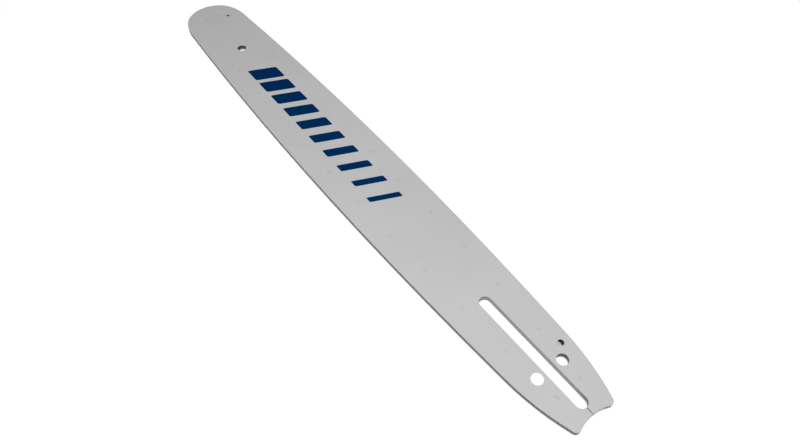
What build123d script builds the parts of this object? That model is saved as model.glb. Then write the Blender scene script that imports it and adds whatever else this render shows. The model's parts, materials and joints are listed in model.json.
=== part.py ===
from build123d import *
import os
from math import asin, pi, radians, sqrt, tan

# Laminated sprocket-nose guide bar, lying flat. X runs from the tail to the nose, Y across the bar,
# Z up from the lower face. The origin is in the middle of the lower face.

# Bar outline
bar_length = 481.7
belly_width = 62.8
belly_from_tail = 250.8
shoulder_width = 49.3
shoulder_from_tail = 45.9
nose_radius = 24.1
nose_relief = 1.35
nose_shoulder_radius = 38.0
tail_tip_spacing = 25.6
tail_tip_radius = 3.2
tail_hollow_radius = 30.0
rim_chamfer = 0.2

# Laminations
side_plate_thickness = 1.45
core_thickness = 1.3
groove_depth = 7.0

# Tail fittings, placed from the tail tips
slot_width = 8.2
slot_near_end = 7.3
slot_far_end = 95.1
slit_width = 0.7
adjuster_hole_diameter = 7.6
adjuster_from_tail = 35.5
adjuster_spacing = 20.4
oil_hole_diameter = 4.2
oil_hole_from_tail = 43.8
oil_hole_offset = 17.2

# Hang hole, placed from the nose's centre
hang_hole_diameter = 7.4
hang_hole_behind_nose = 50.6

# Nose sprocket and its roller bearing
tooth_count = 9
tooth_tip_inset = 0.5
tooth_tip_land = 2.6
gullet_radius = 3.4
sprocket_rim = 2.5
sprocket_side_clearance = 0.05
pocket_clearance = 1.5
hub_radius = 11.1
roller_diameter = 3.2
roller_gap = 0.05
roller_clearance = 0.03
roller_side_clearance = 0.05
grease_hole_diameter = 2.8

# Nose rivets, on a square round the hub's middle
rivet_spacing = 7.2
rivet_shank_diameter = 3.4
rivet_head_diameter = 5.4
rivet_head_angle = 90.0

# Levels and stations that follow from the sizes above
core_floor = side_plate_thickness
core_top = core_floor + core_thickness
bar_top = core_top + side_plate_thickness
tail_x = -bar_length / 2
belly_x = tail_x + belly_from_tail
shoulder_x = tail_x + shoulder_from_tail
nose_x = bar_length / 2 - nose_radius
slot_length = slot_far_end - slot_near_end
slot_x = tail_x + (slot_near_end + slot_far_end) / 2
slit_length = slot_near_end + slot_width / 2
adjuster_x = tail_x + adjuster_from_tail
oil_hole_x = tail_x + oil_hole_from_tail
hang_hole_x = nose_x - hang_hole_behind_nose
roller_radius = roller_diameter / 2
roller_ring_radius = hub_radius + roller_clearance + roller_radius
roller_count = int(pi / asin((roller_radius + roller_gap / 2) / roller_ring_radius))
sprocket_bore_radius = roller_ring_radius + roller_radius + roller_clearance
sprocket_tip_radius = nose_radius - tooth_tip_inset
pocket_radius = sprocket_tip_radius + pocket_clearance


def toward(start, end, distance):
    """The point at a distance from start on the line through end."""
    return start + (end - start).normalized() * distance


def crossing(centre_a, radius_a, centre_b, radius_b):
    """Of the two points where circles a and b cross, the one to the left on the way from a to b."""
    way = centre_b - centre_a
    along = (way.length**2 + radius_a**2 - radius_b**2) / (2 * way.length)
    aside = sqrt(radius_a**2 - along**2)
    forward = way.normalized()
    return centre_a + forward * along + Vector(-forward.Y, forward.X) * aside


# Arcs of the outline's upper half, each touching the next: the hollow between the tail tips, a tail
# tip, the tail arc up to the shoulder, the rear and front arcs that meet at the belly, the shoulder of
# the nose and the nose. The nose is set back inside the front arcs, so that the chain leaves the rails
# and rides on the sprocket there.
nose_centre = Vector(nose_x, 0)
belly = Vector(belly_x, belly_width / 2)
shoulder = Vector(shoulder_x, shoulder_width / 2)
tip_centre = Vector(tail_x + tail_tip_radius, tail_tip_spacing / 2)

front_run = nose_x - belly_x
front_drop = belly.Y - nose_radius - nose_relief
front_radius = (front_run**2 + front_drop**2) / (2 * front_drop)
front_centre = belly - Vector(0, front_radius)
nose_shoulder_centre = crossing(
    front_centre, front_radius - nose_shoulder_radius, nose_centre, nose_shoulder_radius - nose_radius
)

rear_chord = belly - shoulder
rear_radius = rear_chord.length**2 / (2 * rear_chord.Y)
rear_centre = belly - Vector(0, rear_radius)

outward = (shoulder - rear_centre).normalized()
tip_chord = shoulder - tip_centre
tail_radius = (tip_chord.length**2 - tail_tip_radius**2) / (2 * (outward.dot(tip_chord) - tail_tip_radius))
tail_centre = shoulder - outward * tail_radius

hollow_reach = tail_hollow_radius + tail_tip_radius
hollow_centre = Vector(tip_centre.X - sqrt(hollow_reach**2 - tip_centre.Y**2), 0)

# Points where the arcs of a side plate meet
hollow_floor = Vector(hollow_centre.X + tail_hollow_radius, 0)
hollow_end = toward(hollow_centre, tip_centre, tail_hollow_radius)
tip_end = toward(tail_centre, tip_centre, tail_radius)
front_end = toward(front_centre, nose_shoulder_centre, front_radius)
nose_start = toward(nose_shoulder_centre, nose_centre, nose_shoulder_radius)
nose_tip = Vector(nose_x + nose_radius, 0)

# Points where the arcs of the core meet. Its sides lie a groove's depth inside the side plates, its
# tail is flush with theirs, and its front is hollowed round the sprocket.
core_tail_corner = crossing(hollow_centre, tail_hollow_radius, tail_centre, tail_radius - groove_depth)
core_shoulder = shoulder - outward * groove_depth
core_belly = belly - Vector(0, groove_depth)
core_nose_corner = crossing(front_centre, front_radius - groove_depth, nose_centre, pocket_radius)
pocket_floor = Vector(nose_x - pocket_radius, 0)

with BuildSketch() as mounting_cuts:
    with Locations((slot_x, 0)):
        SlotOverall(slot_length, slot_width)
    with Locations((tail_x, 0)):
        Rectangle(slit_length, slit_width, align=(Align.MIN, Align.CENTER))
    with Locations((adjuster_x, -adjuster_spacing / 2), (adjuster_x, adjuster_spacing / 2)):
        Circle(adjuster_hole_diameter / 2)
    with Locations((hang_hole_x, 0)):
        Circle(hang_hole_diameter / 2)

with BuildPart() as upper_side_plate:
    with BuildSketch(Plane.XY.offset(core_top)):
        with BuildLine():
            RadiusArc(hollow_floor, hollow_end, -tail_hollow_radius)
            RadiusArc(hollow_end, tip_end, tail_tip_radius)
            RadiusArc(tip_end, shoulder, tail_radius)
            RadiusArc(shoulder, belly, rear_radius)
            RadiusArc(belly, front_end, front_radius)
            RadiusArc(front_end, nose_start, nose_shoulder_radius)
            RadiusArc(nose_start, nose_tip, nose_radius)
            mirror(about=Plane.XZ)
        make_face()
    extrude(amount=side_plate_thickness)
    chamfer(upper_side_plate.edges().group_by(Axis.Z)[-1], rim_chamfer)
    with BuildSketch(Plane.XY.offset(core_top)):
        add(mounting_cuts.sketch)
        with Locations((oil_hole_x, -oil_hole_offset)):
            Circle(oil_hole_diameter / 2)
        with Locations((nose_x, -roller_ring_radius)):
            Circle(grease_hole_diameter / 2)
    extrude(amount=side_plate_thickness, mode=Mode.SUBTRACT)
    with Locations((nose_x, 0, bar_top)):
        with GridLocations(rivet_spacing, rivet_spacing, 2, 2):
            CounterSinkHole(
                rivet_shank_diameter / 2,
                rivet_head_diameter / 2,
                side_plate_thickness,
                rivet_head_angle,
            )

# The lower plate is the upper one turned over about the bar's long axis.
with BuildPart() as lower_side_plate:
    add(upper_side_plate.part.rotate(Axis((0, 0, bar_top / 2), (1, 0, 0)), 180))

with BuildPart() as core_plate:
    with BuildSketch(Plane.XY.offset(core_floor)):
        with BuildLine():
            RadiusArc(hollow_floor, core_tail_corner, -tail_hollow_radius)
            RadiusArc(core_tail_corner, core_shoulder, tail_radius - groove_depth)
            RadiusArc(core_shoulder, core_belly, rear_radius - groove_depth)
            RadiusArc(core_belly, core_nose_corner, front_radius - groove_depth)
            RadiusArc(core_nose_corner, pocket_floor, -pocket_radius)
            mirror(about=Plane.XZ)
        make_face()
        add(mounting_cuts.sketch, mode=Mode.SUBTRACT)
    extrude(amount=core_thickness)

with BuildPart() as bearing_hub:
    with BuildSketch(Plane.XY.offset(core_floor)):
        with Locations((nose_x, 0)):
            Circle(hub_radius)
            with GridLocations(rivet_spacing, rivet_spacing, 2, 2):
                Circle(rivet_shank_diameter / 2, mode=Mode.SUBTRACT)
    extrude(amount=core_thickness)

with BuildPart() as bearing_rollers:
    with BuildSketch(Plane.XY.offset(core_floor + roller_side_clearance)):
        with Locations((nose_x, 0)):
            with PolarLocations(roller_ring_radius, roller_count):
                Circle(roller_radius)
    extrude(amount=core_thickness - 2 * roller_side_clearance)

# One gullet between two teeth: a round floor that opens in straight flanks to the tip circle.
gullet_floor = sprocket_bore_radius + sprocket_rim
gullet_mouth = 2 * pi * sprocket_tip_radius / tooth_count - tooth_tip_land
with BuildSketch() as gullet:
    with Locations((gullet_floor + gullet_radius, 0)):
        Circle(gullet_radius)
    with Locations((sprocket_tip_radius, 0)):
        Rectangle(gullet_radius, gullet_mouth, align=(Align.MIN, Align.CENTER))
    make_hull()

with BuildPart() as nose_sprocket:
    with BuildSketch(Plane.XY.offset(core_floor + sprocket_side_clearance)):
        with Locations((nose_x, 0)):
            Circle(sprocket_tip_radius)
            Circle(sprocket_bore_radius, mode=Mode.SUBTRACT)
            with PolarLocations(0, tooth_count, start_angle=180 / tooth_count):
                add(gullet.sketch, mode=Mode.SUBTRACT)
    extrude(amount=core_thickness - 2 * sprocket_side_clearance)

# One rivet, set flush in both side plates: half its section, turned about its own axis.
rivet_head_flare = (rivet_head_diameter - rivet_shank_diameter) / 2
rivet_head_depth = rivet_head_flare / tan(radians(rivet_head_angle / 2))
with BuildPart() as rivet:
    with BuildSketch(Plane.XZ):
        with BuildLine():
            Polyline(
                (0, 0),
                (rivet_head_diameter / 2, 0),
                (rivet_shank_diameter / 2, rivet_head_depth),
                (rivet_shank_diameter / 2, bar_top - rivet_head_depth),
                (rivet_head_diameter / 2, bar_top),
                (0, bar_top),
                close=True,
            )
        make_face()
    revolve(axis=Axis.Z)

with BuildPart() as nose_rivets:
    with Locations((nose_x, 0)):
        with GridLocations(rivet_spacing, rivet_spacing, 2, 2):
            add(rivet.part)

upper_side_plate.part.label = "upper_side_plate"
lower_side_plate.part.label = "lower_side_plate"
core_plate.part.label = "core_plate"
bearing_hub.part.label = "bearing_hub"
bearing_rollers.part.label = "bearing_rollers"
nose_sprocket.part.label = "nose_sprocket"
nose_rivets.part.label = "nose_rivets"

os.makedirs("parts", exist_ok=True)
export_step(upper_side_plate.part, "parts/upper_side_plate.step")
export_step(lower_side_plate.part, "parts/lower_side_plate.step")
export_step(core_plate.part, "parts/core_plate.step")
export_step(bearing_hub.part, "parts/bearing_hub.step")
export_step(bearing_rollers.part, "parts/bearing_rollers.step")
export_step(nose_sprocket.part, "parts/nose_sprocket.step")
export_step(nose_rivets.part, "parts/nose_rivets.step")
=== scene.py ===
import json
from math import cos, radians, sin

import bmesh
import bpy
import numpy as np
from mathutils import Matrix, Vector


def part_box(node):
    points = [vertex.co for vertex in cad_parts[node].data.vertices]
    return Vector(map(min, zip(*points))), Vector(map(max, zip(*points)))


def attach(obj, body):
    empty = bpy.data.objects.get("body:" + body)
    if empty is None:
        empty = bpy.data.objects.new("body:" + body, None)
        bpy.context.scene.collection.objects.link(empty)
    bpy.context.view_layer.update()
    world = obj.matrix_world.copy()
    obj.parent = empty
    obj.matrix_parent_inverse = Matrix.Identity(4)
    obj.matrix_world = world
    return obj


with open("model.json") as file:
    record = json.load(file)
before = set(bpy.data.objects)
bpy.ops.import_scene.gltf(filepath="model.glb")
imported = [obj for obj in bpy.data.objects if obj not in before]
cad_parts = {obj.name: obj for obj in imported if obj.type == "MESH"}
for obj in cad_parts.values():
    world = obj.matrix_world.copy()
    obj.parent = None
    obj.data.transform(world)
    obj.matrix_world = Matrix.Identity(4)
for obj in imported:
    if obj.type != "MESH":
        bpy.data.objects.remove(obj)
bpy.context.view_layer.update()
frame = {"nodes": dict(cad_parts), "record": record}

MM = 0.001

# Places read from the frame
plate_low, plate_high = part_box("upper_side_plate")
hub_low, hub_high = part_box("bearing_hub")
TAIL_X = plate_low[0]
TOP_Z = plate_high[2]
BOTTOM_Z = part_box("lower_side_plate")[0][2]
MIDDLE_Z = (TOP_Z + BOTTOM_Z) / 2
NOSE_X = (hub_low[0] + hub_high[0]) / 2
MOUNTS = {mount["name"]: mount for mount in frame["record"]["mounts"]}
HANG_X = MOUNTS["hang_hole"]["pos_m"][0]

# Bores: the margin round those that are mounts, and the oil hole with the groove under it, which is
# painted nearly black as shade
BORE_MARGIN = 0.3 * MM
OIL_HOLE_X = TAIL_X + 43.8 * MM
OIL_HOLE_Y = 17.2 * MM
OIL_REACH = 3.9 * MM

# Outer rim: the cut edges far enough off the axis or towards the nose, each from where it softly starts to
# where it is full, and not the marks that stand on the faces. Their grey is a painted shade by height:
# dark on the upper plate's edge and light on the lower's
RIM_ASIDE = 13.0 * MM, 16.5 * MM
RIM_AHEAD = HANG_X + 10.0 * MM, HANG_X + 18.0 * MM
RIM_REACH = (TOP_Z - BOTTOM_Z) / 2 - 0.05 * MM

# Slot's end at the tail, and from where to where its wall darkens, a painted shade. Behind it lie the slit
# and the hollow between the tail tips, whose walls are painted lighter, a painted light
SLOT_END_X = TAIL_X + 7.3 * MM
SLOT_DARKENS = SLOT_END_X + 12.0 * MM, SLOT_END_X + 2.0 * MM

# Greys of the bare places, each between a dark and a light one. The rim, the slot's end, the groove in
# part and the bores are darkened as painted shade, and the slit, the hollow and the left adjuster hole
# lightened as painted light. Those in FALLING are darkest at the bar's top and lightest at its underside,
# by this power of the share of the way down, a painted shade by height
BARE_GREYS = {
    "Edges": (0.26, 0.37),
    # Slot End: painted shade at the slot's tail end, darkest at the top
    "Slot End": (0.06, 0.32),
    # Rim: painted shade by height, dark on the upper plate's edge and light on the lower's
    "Rim": (0.1, 0.6),
    # Tail: walls of the slit and the hollow painted lighter than the cut edges, a painted light
    "Tail": (0.5, 0.62),
    # Inside: oily steel in the groove, painted darker as shade so the groove reads as a dark line
    "Inside": (0.12, 0.2),
    # Painted shade in the hang hole and the right adjuster hole, darkest at the top
    "Bore Shade": (0.02, 0.5),
    # Painted shade in the oil holes and the groove under them, nearly black, darkest at the top
    "Oil Hole Shade": (0.005, 0.05),
    # Painted highlight: the left adjuster hole's wall near white and fully metallic
    "Bore Highlight": (0.93, 0.99),
}
FALLING = {"Slot End": 1, "Rim": 1, "Bore Shade": 3, "Oil Hole Shade": 1}

# Finishes: ranges of roughness, how metallic ground edges look, and bumps
COAT_ROUGHNESS = 0.44, 0.54
COAT_BUMP = 0.25
GROUND_METALLIC = 0.25
STEEL_BUMP = 0.2
INK_DARK = 0.0, 0.022, 0.088
INK_LIGHT = 0.0, 0.026, 0.102
INK_ROUGHNESS = 0.5, 0.65
INK_BUMP = 0.1
BUMP_DISTANCE = 0.03 * MM
NOISE_MIDDLE = 0.3, 0.7

# Sockets of a Mix node, which have the same names for numbers and colours
NUMBER_A, NUMBER_B = 2, 3
COLOUR_A, COLOUR_B = 6, 7
COLOUR_RESULT = 2

# Spot welds: stations from the tail and half the spacing of each pair, in millimetres
WELD_PAIRS = np.array(
    (
        (21.3, 9.4),
        (58.3, 12.6),
        (96.1, 14.8),
        (131.6, 16.0),
        (167.7, 16.9),
        (204.3, 17.6),
        (239.4, 18.3),
        (274.8, 17.8),
        (310.8, 17.6),
        (346.1, 16.8),
        (381.5, 15.7),
        (418.6, 14.1),
    )
)
WELD_RADIUS = 1.2 * MM
WELD_RIM = 0.35 * MM
WELD_HEIGHT = 0.08 * MM

# Steps of a ring's grid, round the ring and round its section
RING_TURNS = 36
RING_ROWS = 13

# Rivet heads: half the side of their square, and the swaged ring round each
RIVET_HALF_SPACING = 3.6 * MM
RIVET_RING_RADIUS = 2.7 * MM
RIVET_RING_RIM = 0.35 * MM
RIVET_RING_HEIGHT = 0.07 * MM

# Printed stripes on the upper face, placed from the tail, and the steps of their grid
STRIPE_COUNT = 10
STRIPE_FIRST = 372.0 * MM
STRIPE_PITCH = 18.6 * MM
STRIPE_WIDE = 15.0 * MM
STRIPE_NARROW = 5.0 * MM
STRIPE_HEIGHT = 22.0 * MM
STRIPE_SLANT = 22.0
STRIPE_FILM = 0.03 * MM
STRIPE_TURNS = 96
STRIPE_ROWS = 17
STRIPE_SQUARENESS = 14
STRIPE_FLATNESS = 40

# Points closer than this are one, and a sine below this is 0
MERGE_DISTANCE = 1e-7
NO_SINE = 1e-9


def mount_bore(name):
    """Centre of the bore at a mount, and a reach that is a little more than its radius."""
    mount = MOUNTS[name]
    return (*mount["pos_m"][:2], mount["dims"]["r_mm"] * MM + BORE_MARGIN)


# Bores by their painted shade or painted highlight, each as centre and reach
BORES = {
    "Bore Shade": [mount_bore("hang_hole"), mount_bore("adjuster_hole_right")],
    "Oil Hole Shade": [(OIL_HOLE_X, side * OIL_HOLE_Y, OIL_REACH) for side in (-1, 1)],
    "Bore Highlight": [mount_bore("adjuster_hole_left")],
}


def mesh_piece(name, points, faces, material):
    """A smooth mesh object at the origin that rides on the bar."""
    mesh = bpy.data.meshes.new(name)
    mesh.from_pydata(points.reshape(-1, 3).tolist(), [], faces.tolist())
    shell = bmesh.new()
    shell.from_mesh(mesh)
    bmesh.ops.remove_doubles(shell, verts=shell.verts, dist=MERGE_DISTANCE)
    shell.to_mesh(mesh)
    shell.free()
    mesh.polygons.foreach_set("use_smooth", np.ones(len(mesh.polygons), dtype=bool))
    mesh.materials.append(material)
    mesh.update()
    piece = bpy.data.objects.new(name, mesh)
    bpy.context.scene.collection.objects.link(piece)
    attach(piece, "bar")
    return piece


def turned_faces(turns, rows, copies):
    """Quads of copies of a grid of turns by rows that closes on itself round the turns.

    The first and last rows of a copy are the same points, or each one point, so every copy is closed.
    """
    here = np.arange(turns * rows).reshape(turns, rows)
    ahead = np.roll(here, -1, axis=0)
    quads = np.stack([here[:, :-1], here[:, 1:], ahead[:, 1:], ahead[:, :-1]], axis=-1).reshape(-1, 4)
    return (quads[None] + (np.arange(copies) * turns * rows)[:, None, None]).reshape(-1, 4)


def ring_marks(name, centres, radius, rim, height, material):
    """Rings that stand a little proud of a flat face, all in one mesh.

    A ring is a flat torus, half sunk in the face: a grid of turn angle and of angle round its section.
    The distance from the ring's centre is radius - rim * cos(section) and the height is
    height * sin(section).
    """
    turn, section = np.meshgrid(
        np.linspace(0, 2 * np.pi, RING_TURNS, endpoint=False),
        np.linspace(0, 2 * np.pi, RING_ROWS),
        indexing="ij",
    )
    reach = radius - rim * np.cos(section)
    ring = np.stack([reach * np.cos(turn), reach * np.sin(turn), height * np.sin(section)], axis=-1)
    points = centres[:, None, None, :] + ring
    piece = mesh_piece(name, points, turned_faces(RING_TURNS, RING_ROWS, len(centres)), material)


def weld_centres(z):
    """Centres of the paired spot welds on the face at height z."""
    stations = TAIL_X + np.repeat(WELD_PAIRS[:, 0], 2) * MM
    offsets = (WELD_PAIRS[:, 1:] * np.array([1, -1])).ravel() * MM
    return np.column_stack([stations, offsets, np.full_like(stations, z)])


def rivet_centres(z):
    """Centres of the four rivet heads on the face at height z."""
    corners = np.array([(1, 1), (1, -1), (-1, 1), (-1, -1)]) * RIVET_HALF_SPACING
    return np.column_stack([NOSE_X + corners[:, 0], corners[:, 1], np.full(4, z)])


def printed_stripes(name, material):
    """A row of slanted stripes of printed film that get narrower towards the tail.

    A stripe is a thin pill, half sunk in the face: a grid of turn angle and of steps from the middle of
    its top over its edge to the middle of its underside. Its outline is a superellipse, |cos|^(2/n) by
    |sin|^(2/n) with the sign kept, sheared along the bar by the tangent of the slant times the height
    across it. The share of the way out and the height of each step come from a superellipse too.
    """
    turn, step = np.meshgrid(
        np.linspace(0, 2 * np.pi, STRIPE_TURNS, endpoint=False),
        np.linspace(0, np.pi, STRIPE_ROWS),
        indexing="ij",
    )
    along = np.sign(np.cos(turn)) * np.abs(np.cos(turn)) ** (2 / STRIPE_SQUARENESS)
    across = np.sign(np.sin(turn)) * np.abs(np.sin(turn)) ** (2 / STRIPE_SQUARENESS)
    share = np.abs(np.sin(step)) ** (2 / STRIPE_FLATNESS) * (np.abs(np.sin(step)) > NO_SINE)
    rise = np.sign(np.cos(step)) * np.abs(np.cos(step)) ** (2 / STRIPE_FLATNESS)
    order = np.arange(STRIPE_COUNT)[:, None, None]
    width = STRIPE_WIDE + (STRIPE_NARROW - STRIPE_WIDE) * order / (STRIPE_COUNT - 1)
    middle = TAIL_X + STRIPE_FIRST - STRIPE_WIDE / 2 - STRIPE_PITCH * order
    y = share * across * STRIPE_HEIGHT / 2 + 0 * order
    x = middle + share * along * width / 2 + y * np.tan(np.radians(STRIPE_SLANT))
    z = TOP_Z + STRIPE_FILM * rise + 0 * order
    points = np.stack([x, y, z], axis=-1)
    mesh_piece(name, points, turned_faces(STRIPE_TURNS, STRIPE_ROWS, STRIPE_COUNT), material)


def add_node(tree, kind, values=(), **settings):
    """A node of a kind, with its settings and the values of its named inputs."""
    made = tree.nodes.new(kind)
    for key, value in settings.items():
        setattr(made, key, value)
    for key, value in dict(values).items():
        made.inputs[key].default_value = value
    return made


def math_node(tree, operation, first, second=None):
    """A Math node fed by sockets or plain numbers; returns its output socket."""
    made = tree.nodes.new("ShaderNodeMath")
    made.operation = operation
    for slot, value in enumerate((first, second)):
        if isinstance(value, bpy.types.NodeSocket):
            tree.links.new(value, made.inputs[slot])
        elif value is not None:
            made.inputs[slot].default_value = value
    return made.outputs[0]


def new_group(name, inputs, outputs):
    """A shader node group with float inputs (name to default) and typed outputs."""
    tree = bpy.data.node_groups.new(name, "ShaderNodeTree")
    for key, value in inputs.items():
        socket = tree.interface.new_socket(key, in_out="INPUT", socket_type="NodeSocketFloat")
        socket.default_value = value
    for key, kind in outputs.items():
        tree.interface.new_socket(key, in_out="OUTPUT", socket_type=kind)
    return tree, tree.nodes.new("NodeGroupInput"), tree.nodes.new("NodeGroupOutput")


def ramp(tree, value, low, high):
    """0 where a value is low, 1 where it is high, and in proportion between."""
    ranged = add_node(tree, "ShaderNodeMapRange", {"From Min": low, "From Max": high})
    tree.links.new(value, ranged.inputs["Value"])
    return ranged.outputs[0]


def full_range(tree, noise):
    """A noise node's value, whose middle part is stretched to fill 0 to 1."""
    return ramp(tree, noise.outputs["Fac"], *NOISE_MIDDLE)


def coat_group():
    """Sprayed coat: a tone of slow patches with fine flecks in them, and a peel that is a bump height."""
    tree, given, result = new_group(
        "sprayed_coat",
        {"Patch Size": 0.06, "Fleck Size": 0.00025, "Fleck Share": 0.5, "Peel Size": 0.0006},
        {"Tone": "NodeSocketFloat", "Peel": "NodeSocketFloat"},
    )
    place = tree.nodes.new("ShaderNodeTexCoord").outputs["Object"]
    layers = {}
    for layer, detail in (("Patch", 4.0), ("Fleck", 1.0), ("Peel", 2.0)):
        noise = add_node(tree, "ShaderNodeTexNoise", {"Detail": detail, "Roughness": 0.55})
        tree.links.new(place, noise.inputs["Vector"])
        size = given.outputs[f"{layer} Size"]
        tree.links.new(math_node(tree, "DIVIDE", 1.0, size), noise.inputs["Scale"])
        layers[layer] = full_range(tree, noise)
    tone = add_node(tree, "ShaderNodeMix", data_type="FLOAT")
    tree.links.new(given.outputs["Fleck Share"], tone.inputs["Factor"])
    for slot, layer in ((NUMBER_A, "Patch"), (NUMBER_B, "Fleck")):
        tree.links.new(layers[layer], tone.inputs[slot])
    tree.links.new(tone.outputs[0], result.inputs["Tone"])
    tree.links.new(layers["Peel"], result.inputs["Peel"])
    return tree


def steel_group():
    """Rolled steel: streaks stretched along the bar, as a tone and as a bump height."""
    tree, given, result = new_group(
        "rolled_steel",
        {"Streak Length": 0.02, "Streak Width": 0.0003},
        {"Tone": "NodeSocketFloat", "Streaks": "NodeSocketFloat"},
    )
    place = tree.nodes.new("ShaderNodeSeparateXYZ")
    tree.links.new(tree.nodes.new("ShaderNodeTexCoord").outputs["Object"], place.inputs[0])
    stretched = tree.nodes.new("ShaderNodeCombineXYZ")
    for axis, size in (("X", "Streak Length"), ("Y", "Streak Width"), ("Z", "Streak Width")):
        scaled = math_node(tree, "DIVIDE", place.outputs[axis], given.outputs[size])
        tree.links.new(scaled, stretched.inputs[axis])
    noise = add_node(tree, "ShaderNodeTexNoise", {"Scale": 1.0, "Detail": 3.0, "Roughness": 0.6})
    tree.links.new(stretched.outputs[0], noise.inputs["Vector"])
    streaks = full_range(tree, noise)
    for result_name in ("Tone", "Streaks"):
        tree.links.new(streaks, result.inputs[result_name])
    return tree


def near_bores(tree, place, bores):
    """1 where a place is within the reach of one of the bores' axes, and 0 elsewhere."""
    level = tree.nodes.new("ShaderNodeCombineXYZ")
    for axis in ("X", "Y"):
        tree.links.new(place.outputs[axis], level.inputs[axis])
    near = 0.0
    for x, y, reach in bores:
        away = add_node(tree, "ShaderNodeVectorMath", {1: (x, y, 0.0)}, operation="DISTANCE")
        tree.links.new(level.outputs[0], away.inputs[0])
        within = math_node(tree, "LESS_THAN", away.outputs["Value"], reach)
        near = math_node(tree, "MAXIMUM", within, near)
    return near


def bare_group():
    """Masks of the places where the steel is bare, and of the painted shade and painted light on them.

    Edges are cut edges, where a face stands upright. Slot End are those at the slot's tail end (painted
    shade),
    Rim those on the outer rim (painted shade by height), and Tail those in the slit and the hollow
    (painted light). Inside are the faces that close on the core, less than Reach from the middle of the
    bar's thickness (oily steel, partly painted shade). The bore masks, painted shade in the hang hole, the
    right adjuster hole and the oil holes and a painted highlight in the left adjuster hole, are edges and
    inner faces near the axis of such a bore. Fall goes from 0 at the bar's top to 1 at its underside.
    """
    tree, given, result = new_group(
        "bare_places",
        {"Tilt": 0.5, "Middle": MIDDLE_Z, "Reach": 0.0007},
        dict.fromkeys((*BARE_GREYS, "Fall"), "NodeSocketFloat"),
    )
    coordinates = tree.nodes.new("ShaderNodeTexCoord")
    normal, place = (tree.nodes.new("ShaderNodeSeparateXYZ") for _ in range(2))
    tree.links.new(coordinates.outputs["Normal"], normal.inputs[0])
    tree.links.new(coordinates.outputs["Object"], place.inputs[0])
    upright = math_node(tree, "ABSOLUTE", normal.outputs["Z"])
    edges = math_node(tree, "LESS_THAN", upright, given.outputs["Tilt"])
    above_middle = math_node(tree, "SUBTRACT", place.outputs["Z"], given.outputs["Middle"])
    depth = math_node(tree, "ABSOLUTE", above_middle)
    inside = math_node(tree, "LESS_THAN", depth, given.outputs["Reach"])
    bare = math_node(tree, "MAXIMUM", edges, inside)
    off_axis = math_node(tree, "ABSOLUTE", place.outputs["Y"])
    aside = ramp(tree, off_axis, *RIM_ASIDE)
    outer = math_node(tree, "MAXIMUM", aside, ramp(tree, place.outputs["X"], *RIM_AHEAD))
    between_faces = math_node(tree, "LESS_THAN", depth, RIM_REACH)
    slot_end = ramp(tree, place.outputs["X"], *SLOT_DARKENS)
    behind_slot = math_node(tree, "LESS_THAN", place.outputs["X"], SLOT_END_X)
    near_axis = ramp(tree, off_axis, *reversed(RIM_ASIDE))
    masks = {
        "Edges": edges,
        "Slot End": math_node(tree, "MULTIPLY", slot_end, edges),
        "Rim": math_node(tree, "MULTIPLY", outer, math_node(tree, "MULTIPLY", edges, between_faces)),
        "Tail": math_node(tree, "MULTIPLY", near_axis, math_node(tree, "MULTIPLY", edges, behind_slot)),
        "Inside": inside,
        "Fall": ramp(tree, place.outputs["Z"], TOP_Z, BOTTOM_Z),
    }
    for mask_name, bores in BORES.items():
        masks[mask_name] = math_node(tree, "MULTIPLY", near_bores(tree, place, bores), bare)
    for mask_name, mask in masks.items():
        tree.links.new(mask, result.inputs[mask_name])
    return tree


SPRAYED_COAT = coat_group()
ROLLED_STEEL = steel_group()
BARE_PLACES = bare_group()


def new_material(name):
    """A material with its tree and its Principled shader."""
    made = bpy.data.materials.new(name)
    made.use_nodes = True
    return made, made.node_tree, made.node_tree.nodes["Principled BSDF"]


def use_group(tree, group, values=()):
    """A shared node group placed in a material with its own values."""
    return add_node(tree, "ShaderNodeGroup", values, node_tree=group)


def grey(level):
    """A neutral colour."""
    return (level,) * 3


def mixed_colour(tree, share, low, high):
    """A colour between low and high by a share; each is a colour or a socket."""
    mix = add_node(tree, "ShaderNodeMix", data_type="RGBA")
    tree.links.new(share, mix.inputs["Factor"])
    for slot, value in ((COLOUR_A, low), (COLOUR_B, high)):
        if isinstance(value, bpy.types.NodeSocket):
            tree.links.new(value, mix.inputs[slot])
        else:
            mix.inputs[slot].default_value = (*value, 1)
    return mix.outputs[COLOUR_RESULT]


def spread(tree, share, low, high):
    """A number between low and high by a share."""
    ranged = add_node(tree, "ShaderNodeMapRange", {"To Min": low, "To Max": high})
    tree.links.new(share, ranged.inputs["Value"])
    return ranged.outputs[0]


def add_bump(tree, shader, height, strength):
    """A bump on the shader's normal."""
    bump = add_node(tree, "ShaderNodeBump", {"Strength": strength, "Distance": BUMP_DISTANCE})
    tree.links.new(height, bump.inputs["Height"])
    tree.links.new(bump.outputs[0], shader.inputs["Normal"])


def with_bare_places(tree, bare, steel, colour):
    """A face's colour with the grey of each bare place laid over it, in the order of BARE_GREYS, painted
    shade and painted light among them.
    """
    for mask_name, (dark, light) in BARE_GREYS.items():
        share = steel.outputs["Tone"]
        # Painted shade by height: darkest at the bar's top, lightest at its underside
        if mask_name in FALLING:
            share = math_node(tree, "POWER", bare.outputs["Fall"], FALLING[mask_name])
        place_grey = mixed_colour(tree, share, grey(dark), grey(light))
        colour = mixed_colour(tree, bare.outputs[mask_name], colour, place_grey)
    return colour


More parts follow.
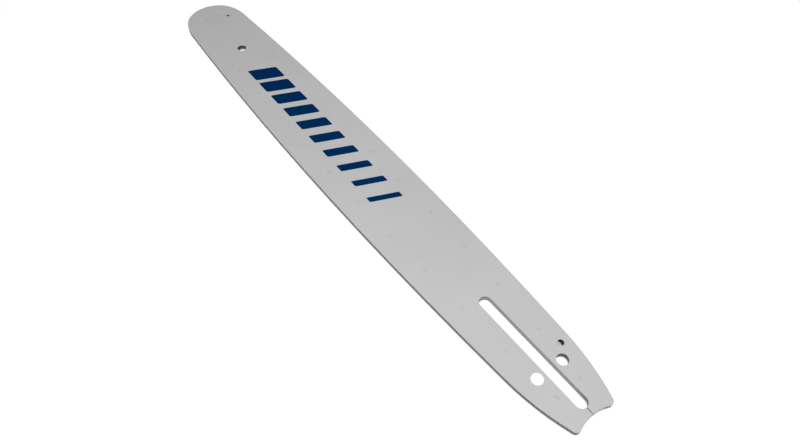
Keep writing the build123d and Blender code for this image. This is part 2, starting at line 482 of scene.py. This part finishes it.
def satin_paint(name, dark, light):
    """Satin grey coat on the faces, ground steel on the cut edges, painted shade and light in the bare
    places.
    """
    made, tree, shader = new_material(name)
    coat = use_group(tree, SPRAYED_COAT)
    steel = use_group(tree, ROLLED_STEEL)
    bare = use_group(tree, BARE_PLACES)
    paint = mixed_colour(tree, coat.outputs["Tone"], dark, light)
    tree.links.new(with_bare_places(tree, bare, steel, paint), shader.inputs["Base Color"])
    tree.links.new(spread(tree, coat.outputs["Tone"], *COAT_ROUGHNESS), shader.inputs["Roughness"])
    # No ground sheen in the bores' painted shade; the painted highlight is fully metallic
    shaded_bores = math_node(tree, "MAXIMUM", bare.outputs["Bore Shade"], bare.outputs["Oil Hole Shade"])
    unshaded_edges = math_node(tree, "GREATER_THAN", bare.outputs["Edges"], shaded_bores)
    ground = math_node(tree, "MULTIPLY", unshaded_edges, GROUND_METALLIC)
    tree.links.new(math_node(tree, "MAXIMUM", ground, bare.outputs["Bore Highlight"]), shader.inputs["Metallic"])
    add_bump(tree, shader, coat.outputs["Peel"], COAT_BUMP)
    return made


def bare_steel(name, dark, light, roughness, metallic, cut=False):
    """Plain steel with rolling streaks; cut steel has the side plates' cut edges and bores, with their
    painted shade and light.
    """
    made, tree, shader = new_material(name)
    steel = use_group(tree, ROLLED_STEEL)
    colour = mixed_colour(tree, steel.outputs["Tone"], dark, light)
    shader.inputs["Metallic"].default_value = metallic
    if cut:
        bare = use_group(tree, BARE_PLACES, {"Reach": 0.0})
        colour = with_bare_places(tree, bare, steel, colour)
        shine = math_node(tree, "MAXIMUM", bare.outputs["Bore Highlight"], metallic)
        tree.links.new(shine, shader.inputs["Metallic"])
    tree.links.new(colour, shader.inputs["Base Color"])
    tree.links.new(spread(tree, steel.outputs["Tone"], *roughness), shader.inputs["Roughness"])
    add_bump(tree, shader, steel.outputs["Streaks"], STEEL_BUMP)
    return made


def print_ink():
    """Navy print with a slightly uneven film."""
    made, tree, shader = new_material("print_ink")
    coat = use_group(tree, SPRAYED_COAT, {"Patch Size": 0.01, "Peel Size": 0.0004})
    ink = mixed_colour(tree, coat.outputs["Tone"], INK_DARK, INK_LIGHT)
    tree.links.new(ink, shader.inputs["Base Color"])
    tree.links.new(spread(tree, coat.outputs["Tone"], *INK_ROUGHNESS), shader.inputs["Roughness"])
    shader.inputs["Specular IOR Level"].default_value = 0.0
    add_bump(tree, shader, coat.outputs["Peel"], INK_BUMP)
    return made


PAINT = satin_paint("painted_plate", dark=grey(0.455), light=grey(0.515))
WELD_PAINT = satin_paint("weld_mark", dark=grey(0.44), light=grey(0.48))
RING_PAINT = satin_paint("rivet_ring", dark=grey(0.385), light=grey(0.415))
CORE_STEEL = bare_steel(
    "core_steel", dark=grey(0.38), light=grey(0.48), roughness=(0.45, 0.6), metallic=0.3, cut=True
)
SPROCKET_STEEL = bare_steel(
    "sprocket_steel", dark=grey(0.34), light=grey(0.46), roughness=(0.3, 0.45), metallic=0.8
)
BEARING_STEEL = bare_steel(
    "bearing_steel", dark=(0.45, 0.45, 0.46), light=(0.55, 0.55, 0.56), roughness=(0.2, 0.35), metallic=0.9
)
INK = print_ink()

FINISHES = {
    "upper_side_plate": PAINT,
    "lower_side_plate": PAINT,
    "nose_rivets": PAINT,
    "core_plate": CORE_STEEL,
    "nose_sprocket": SPROCKET_STEEL,
    "bearing_hub": BEARING_STEEL,
    "bearing_rollers": BEARING_STEEL,
}
for node_name, finish in FINISHES.items():
    mesh = frame["nodes"][node_name].data
    mesh.materials.clear()
    mesh.materials.append(finish)

for face_name, face_z in (("upper", TOP_Z), ("lower", BOTTOM_Z)):
    ring_marks(
        f"{face_name}_weld_marks", weld_centres(face_z), WELD_RADIUS, WELD_RIM, WELD_HEIGHT, WELD_PAINT
    )
    ring_marks(
        f"{face_name}_rivet_rings",
        rivet_centres(face_z),
        RIVET_RING_RADIUS,
        RIVET_RING_RIM,
        RIVET_RING_HEIGHT,
        RING_PAINT,
    )
printed_stripes("printed_stripes", INK)

# Floor: white to the eye, with a little of the object's shadow, and whiter where the lamp doesn't reach
FLOOR_HALF = 4.0
FLOOR_Z = -0.3 * MM
FLOOR_PALE = 0.9
FLOOR_GLOW_SHARE = 0.85
FLOOR_GLOW = 1.08
FAR_GLOW = 1.18
GLOW_RISE = 0.5, 2.5


def seen_rays(tree):
    """1 for camera, glossy and transmission rays, 0 for the diffuse light that the floor gives back."""
    path = tree.nodes.new("ShaderNodeLightPath")
    seen = math_node(tree, "MAXIMUM", path.outputs["Is Camera Ray"], path.outputs["Is Glossy Ray"])
    return math_node(tree, "MAXIMUM", seen, path.outputs["Is Transmission Ray"])


def floor():
    """A wide pale plane."""
    corners = np.array([(-1, -1), (1, -1), (1, 1), (-1, 1)]) * FLOOR_HALF
    points = np.column_stack([corners, np.full(4, FLOOR_Z)])
    mesh = bpy.data.meshes.new("floor")
    mesh.from_pydata(points.tolist(), [], [(0, 1, 2, 3)])
    made = bpy.data.materials.new("floor_white")
    made.use_nodes = True
    tree = made.node_tree
    tree.nodes.clear()
    pale = add_node(tree, "ShaderNodeBsdfDiffuse", {"Color": (*grey(FLOOR_PALE), 1)})
    glow = tree.nodes.new("ShaderNodeEmission")
    away = add_node(tree, "ShaderNodeVectorMath", operation="LENGTH")
    tree.links.new(tree.nodes.new("ShaderNodeTexCoord").outputs["Object"], away.inputs[0])
    rise = ramp(tree, away.outputs["Value"], *GLOW_RISE)
    tree.links.new(spread(tree, rise, FLOOR_GLOW, FAR_GLOW), glow.inputs["Strength"])
    mix = tree.nodes.new("ShaderNodeMixShader")
    tree.links.new(math_node(tree, "MULTIPLY", seen_rays(tree), FLOOR_GLOW_SHARE), mix.inputs[0])
    tree.links.new(pale.outputs[0], mix.inputs[1])
    tree.links.new(glow.outputs[0], mix.inputs[2])
    tree.links.new(mix.outputs[0], tree.nodes.new("ShaderNodeOutputMaterial").inputs[0])
    mesh.materials.append(made)
    made_floor = bpy.data.objects.new("floor", mesh)
    bpy.context.scene.collection.objects.link(made_floor)


floor()

# Light: an even pale room, and one broad soft lamp that leaves the nose a little darker
ROOM_LEVEL = 0.14
ROOM_WHITE = 1.0
LAMP_PLACE = Vector((-0.21, 0.3, 0.95))
LAMP_AIM = Vector((-0.6, 0.0, 0.0))
LAMP_SIZE = 0.5
LAMP_POWER = 11.0


def room_light():
    """World light: white where it is seen, and an even level on the object."""
    world = bpy.data.worlds.new("room")
    world.use_nodes = True
    tree = world.node_tree
    backdrop = tree.nodes["Background"]
    backdrop.inputs["Color"].default_value = (1, 1, 1, 1)
    strength = spread(tree, seen_rays(tree), ROOM_LEVEL, ROOM_WHITE)
    tree.links.new(strength, backdrop.inputs["Strength"])
    bpy.context.scene.world = world


def soft_lamp():
    """A square softbox that looks at the bar."""
    lamp = bpy.data.lights.new("soft_lamp", "AREA")
    lamp.size = LAMP_SIZE
    lamp.energy = LAMP_POWER
    made = bpy.data.objects.new("soft_lamp", lamp)
    made.location = LAMP_PLACE
    made.rotation_euler = (LAMP_AIM - LAMP_PLACE).to_track_quat("-Z", "Y").to_euler()
    bpy.context.scene.collection.objects.link(made)


room_light()
soft_lamp()

# Camera: close above the tail, looking along the bar to the nose
EYE = Vector((-0.2811, 0.16773, 0.34155))
EYE_AIM = Vector((-0.06672, 0.00374, 0.0042))
EYE_ROLL = radians(0.84)
LENS = 28.65
SENSOR_WIDTH = 36.0
CLIP_START = 0.01


def camera():
    """The view of the photograph: looks from EYE at EYE_AIM, rolled a little about that line."""
    ahead = (EYE_AIM - EYE).normalized()
    level = ahead.cross(Vector((0, 0, 1))).normalized()
    right = level * cos(EYE_ROLL) + level.cross(ahead) * sin(EYE_ROLL)
    above = right.cross(ahead)
    view = bpy.data.cameras.new("camera")
    view.sensor_width = SENSOR_WIDTH
    view.lens = LENS
    view.clip_start = CLIP_START
    made = bpy.data.objects.new("camera", view)
    made.matrix_world = Matrix.Translation(EYE) @ Matrix((right, above, -ahead)).transposed().to_4x4()
    bpy.context.scene.collection.objects.link(made)
    bpy.context.scene.camera = made


camera()
bpy.context.scene.view_settings.view_transform = "Standard"
